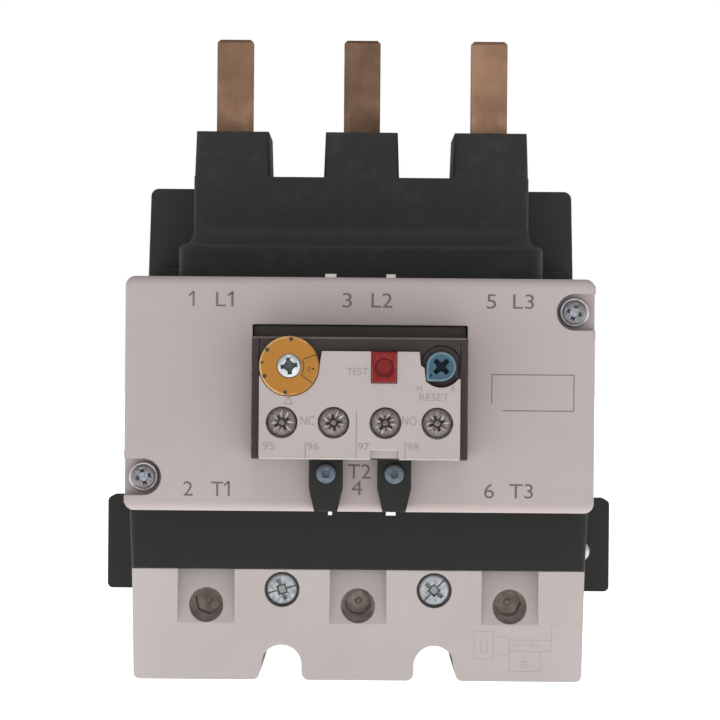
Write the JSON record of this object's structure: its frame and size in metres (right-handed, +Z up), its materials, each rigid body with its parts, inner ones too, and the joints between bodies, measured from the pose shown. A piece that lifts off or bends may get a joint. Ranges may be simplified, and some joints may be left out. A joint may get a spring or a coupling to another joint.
{
  "type": "thermal overload relay",
  "caption": "Plug-in thermal overload relay for a large contactor: line pins on top, box terminals below, trip module with dial, test and reset buttons in front.",
  "frame": {"origin": "on the rear mounting face, halfway between the two ears and at half their height", "axes": "X to the right seen from the front, Y to the back into the panel, Z up along the line pins"},
  "size_m": [0.1126, 0.1126, 0.1381],
  "materials": {
    "black_plastic": "fine moulded texture, satin",
    "cover_plastic": "warm grey, fine matt texture",
    "terminal_plastic": "lighter warm grey, matt",
    "module_plastic": "light warm grey, satin",
    "case_plastic": "dark brown-black, satin",
    "dial_plastic": "yellow-orange, satin",
    "test_plastic": "deep red, satin",
    "reset_plastic": "light blue, satin",
    "inner_plastic": "natural, matt",
    "zinc_steel": "zinc plated",
    "clamp_steel": "tinned and darkened",
    "aux_steel": "worn plating",
    "copper": "tarnished copper, brushed along its length",
    "contact_brass": "bright rolled strip",
    "heater_metal": "dull resistance alloy",
    "bimetal": "rolled strip"
  },
  "bodies": {
    "casing": {"rear_housing": "black_plastic", "front_housing": "black_plastic", "pin_shroud": "black_plastic", "front_cover": "cover_plastic", "terminal_cover": "terminal_plastic", "module_case": "case_plastic", "module_bezel": "case_plastic", "module_front_plate": "module_plastic", "left_clip": "black_plastic", "right_clip": "black_plastic", "clip_screws": "zinc_steel", "front_cover_screws": "zinc_steel", "terminal_cover_screws": "zinc_steel", "ear_screw": "zinc_steel", "pivot_pins": "zinc_steel", "line_pin_1": "copper", "heater_strip_1": "heater_metal", "load_bar_1": "copper", "terminal_cage_1": "zinc_steel", "line_pin_2": "copper", "heater_strip_2": "heater_metal", "load_bar_2": "copper", "terminal_cage_2": "zinc_steel", "line_pin_3": "copper", "heater_strip_3": "heater_metal", "load_bar_3": "copper", "terminal_cage_3": "zinc_steel", "contact_strip_95": "contact_brass", "contact_strip_96": "contact_brass", "contact_strip_97": "contact_brass", "contact_strip_98": "contact_brass"},
    "dial": {"setting_dial": "dial_plastic", "dial_screw": "zinc_steel"},
    "compensation": {"compensation_lever": "bimetal"},
    "test": {"test_button": "test_plastic"},
    "plunger": {"reset_plunger": "reset_plastic"},
    "knob": {"reset_knob": "reset_plastic"},
    "trip": {"trip_slide": "inner_plastic"},
    "differential": {"differential_slide": "inner_plastic"},
    "rocker": {"contact_rocker": "inner_plastic", "contact_bridges": "contact_brass"},
    "bimetal_1": {"bimetal_strip_1": "bimetal"},
    "plate_1": {"pressure_plate_1": "zinc_steel"},
    "screw_1": {"clamp_screw_1": "clamp_steel"},
    "bimetal_2": {"bimetal_strip_2": "bimetal"},
    "plate_2": {"pressure_plate_2": "zinc_steel"},
    "screw_2": {"clamp_screw_2": "clamp_steel"},
    "bimetal_3": {"bimetal_strip_3": "bimetal"},
    "plate_3": {"pressure_plate_3": "zinc_steel"},
    "screw_3": {"clamp_screw_3": "clamp_steel"},
    "clamp_95": {"aux_clamp_95": "zinc_steel"},
    "aux_95": {"aux_screw_95": "aux_steel"},
    "clamp_96": {"aux_clamp_96": "zinc_steel"},
    "aux_96": {"aux_screw_96": "aux_steel"},
    "clamp_97": {"aux_clamp_97": "zinc_steel"},
    "aux_97": {"aux_screw_97": "aux_steel"},
    "clamp_98": {"aux_clamp_98": "zinc_steel"},
    "aux_98": {"aux_screw_98": "aux_steel"}
  },
  "joints": [
    {"name": "dial_turn", "type": "hinge", "parent": "casing", "child": "dial", "pos_m": [-0.01393, -0.11, 0.03999], "axis": [0, -1, 0], "range_deg": [0, 175]},
    {"name": "compensation_tilt", "type": "hinge", "parent": "casing", "child": "compensation", "pos_m": [-0.0098, -0.098, 0.02625], "axis": [0, 1, 0], "range_deg": [0, 6.3]},
    {"name": "test_press", "type": "slide", "parent": "casing", "child": "test", "axis": [0, 1, 0], "range_m": [0, 0.002], "stiffness_N_per_m": 200},
    {"name": "reset_press", "type": "slide", "parent": "casing", "child": "plunger", "axis": [0, 1, 0], "range_m": [0, 0.0025], "stiffness_N_per_m": 200},
    {"name": "reset_select", "type": "hinge", "parent": "plunger", "child": "knob", "pos_m": [0.01599, -0.111, 0.04009], "axis": [0, -1, 0], "range_deg": [0, 90]},
    {"name": "trip_travel", "type": "slide", "parent": "casing", "child": "trip", "axis": [-1, 0, 0], "range_m": [0, 0.003], "stiffness_N_per_m": 60},
    {"name": "differential_travel", "type": "slide", "parent": "casing", "child": "differential", "axis": [-1, 0, 0], "range_m": [0, 0.003]},
    {"name": "rocker_swing", "type": "hinge", "parent": "casing", "child": "rocker", "pos_m": [0, -0.092, 0.03415], "axis": [0, 0, 1], "range_deg": [0, 7.9]},
    {"name": "bimetal_1_bend", "type": "hinge", "parent": "casing", "child": "bimetal_1", "pos_m": [-0.028, -0.0425, 0.01235], "axis": [0, -1, 0], "range_deg": [0, 5.6]},
    {"name": "bimetal_2_bend", "type": "hinge", "parent": "casing", "child": "bimetal_2", "pos_m": [0, -0.0425, 0.01235], "axis": [0, -1, 0], "range_deg": [0, 5.6]},
    {"name": "bimetal_3_bend", "type": "hinge", "parent": "casing", "child": "bimetal_3", "pos_m": [0.028, -0.0425, 0.01235], "axis": [0, -1, 0], "range_deg": [0, 5.6]},
    {"name": "plate_1_travel", "type": "slide", "parent": "casing", "child": "plate_1", "axis": [0, 1, 0], "range_m": [-0.0057, 0.0052]},
    {"name": "screw_1_turn", "type": "hinge", "parent": "plate_1", "child": "screw_1", "pos_m": [-0.03205, -0.044, -0.01065], "axis": [0, 1, 0], "range_deg": [-1370, 1250]},
    {"name": "plate_2_travel", "type": "slide", "parent": "casing", "child": "plate_2", "axis": [0, 1, 0], "range_m": [-0.0057, 0.0052]},
    {"name": "screw_2_turn", "type": "hinge", "parent": "plate_2", "child": "screw_2", "pos_m": [0, -0.044, -0.01065], "axis": [0, 1, 0], "range_deg": [-1370, 1250]},
    {"name": "plate_3_travel", "type": "slide", "parent": "casing", "child": "plate_3", "axis": [0, 1, 0], "range_m": [-0.0057, 0.0052]},
    {"name": "screw_3_turn", "type": "hinge", "parent": "plate_3", "child": "screw_3", "pos_m": [0.03205, -0.044, -0.01065], "axis": [0, 1, 0], "range_deg": [-1370, 1250]},
    {"name": "clamp_95_travel", "type": "slide", "parent": "casing", "child": "clamp_95", "axis": [0, 1, 0], "range_m": [-0.002, 0.0019]},
    {"name": "aux_95_turn", "type": "hinge", "parent": "clamp_95", "child": "aux_95", "pos_m": [-0.01528, -0.107, 0.02889], "axis": [0, 1, 0], "range_deg": [-1201, 1141]},
    {"name": "clamp_96_travel", "type": "slide", "parent": "casing", "child": "clamp_96", "axis": [0, 1, 0], "range_m": [-0.002, 0.0019]},
    {"name": "aux_96_turn", "type": "hinge", "parent": "clamp_96", "child": "aux_96", "pos_m": [-0.00509, -0.107, 0.02889], "axis": [0, 1, 0], "range_deg": [-1201, 1141]},
    {"name": "clamp_97_travel", "type": "slide", "parent": "casing", "child": "clamp_97", "axis": [0, 1, 0], "range_m": [-0.002, 0.0019]},
    {"name": "aux_97_turn", "type": "hinge", "parent": "clamp_97", "child": "aux_97", "pos_m": [0.00509, -0.107, 0.02889], "axis": [0, 1, 0], "range_deg": [-1201, 1141]},
    {"name": "clamp_98_travel", "type": "slide", "parent": "casing", "child": "clamp_98", "axis": [0, 1, 0], "range_m": [-0.002, 0.0019]},
    {"name": "aux_98_turn", "type": "hinge", "parent": "clamp_98", "child": "aux_98", "pos_m": [0.01528, -0.107, 0.02889], "axis": [0, 1, 0], "range_deg": [-1201, 1141]}
  ],
  "couplings": [
    {"joint": "compensation_tilt", "follows": "dial_turn", "ratio": 0.035602},
    {"joint": "differential_travel", "follows": "trip_travel", "ratio": 1},
    {"joint": "rocker_swing", "follows": "trip_travel", "rad_per_m": 45.176},
    {"joint": "bimetal_1_bend", "follows": "trip_travel", "rad_per_m": 31.852},
    {"joint": "bimetal_2_bend", "follows": "trip_travel", "rad_per_m": 31.852},
    {"joint": "bimetal_3_bend", "follows": "trip_travel", "rad_per_m": 31.852},
    {"joint": "screw_1_turn", "follows": "plate_1_travel", "rad_per_m": 4188.8},
    {"joint": "screw_2_turn", "follows": "plate_2_travel", "rad_per_m": 4188.8},
    {"joint": "screw_3_turn", "follows": "plate_3_travel", "rad_per_m": 4188.8},
    {"joint": "aux_95_turn", "follows": "clamp_95_travel", "rad_per_m": 10472},
    {"joint": "aux_96_turn", "follows": "clamp_96_travel", "rad_per_m": 10472},
    {"joint": "aux_97_turn", "follows": "clamp_97_travel", "rad_per_m": 10472},
    {"joint": "aux_98_turn", "follows": "clamp_98_travel", "rad_per_m": 10472}
  ]
}
